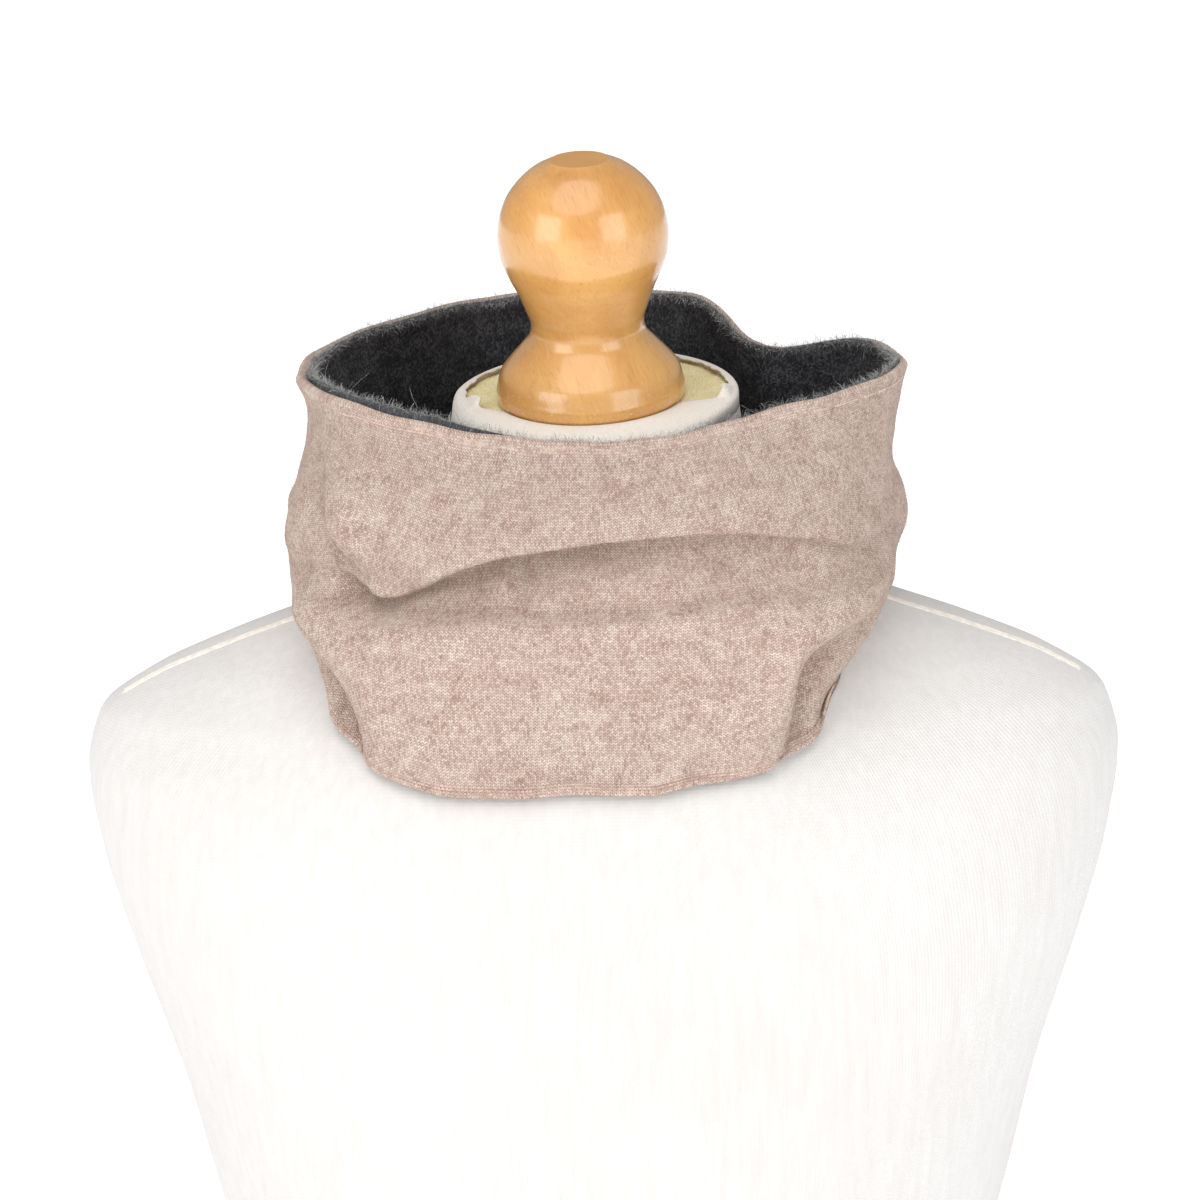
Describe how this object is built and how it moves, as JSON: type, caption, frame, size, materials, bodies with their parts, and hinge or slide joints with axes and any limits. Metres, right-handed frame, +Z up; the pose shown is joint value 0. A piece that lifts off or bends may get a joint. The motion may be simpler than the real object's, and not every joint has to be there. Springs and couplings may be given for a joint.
{
  "type": "infinity scarf on a limbless dress form",
  "caption": "Short tubular infinity scarf in beige knit with a charcoal knit inside, slouched round the neck of a limbless dress form topped by a turned wooden finial.",
  "frame": {"origin": "centre of the bounding box's underside, on the surface that the form stands on", "axes": "+Z up along the form, the wearer's front faces -Y, +X to the right seen from the front"},
  "size_m": [0.402, 0.23, 0.696],
  "materials": {
    "outer_knit": "fine stockinette knit, heathered beige, soft and matte",
    "lining_knit": "fine stockinette knit, charcoal marl, soft and matte",
    "form_cover": "fine cream jersey stretched smooth, matte",
    "foam": "pale yellow foam, matte",
    "turned_wood": "varnished honey-coloured wood, satin to gloss"
  },
  "bodies": {
    "root": {"outer_tube": "outer_knit", "lining_tube": "lining_knit", "form_body": "form_cover", "neck_foam": "foam", "finial": "turned_wood"}
  },
  "joints": []
}
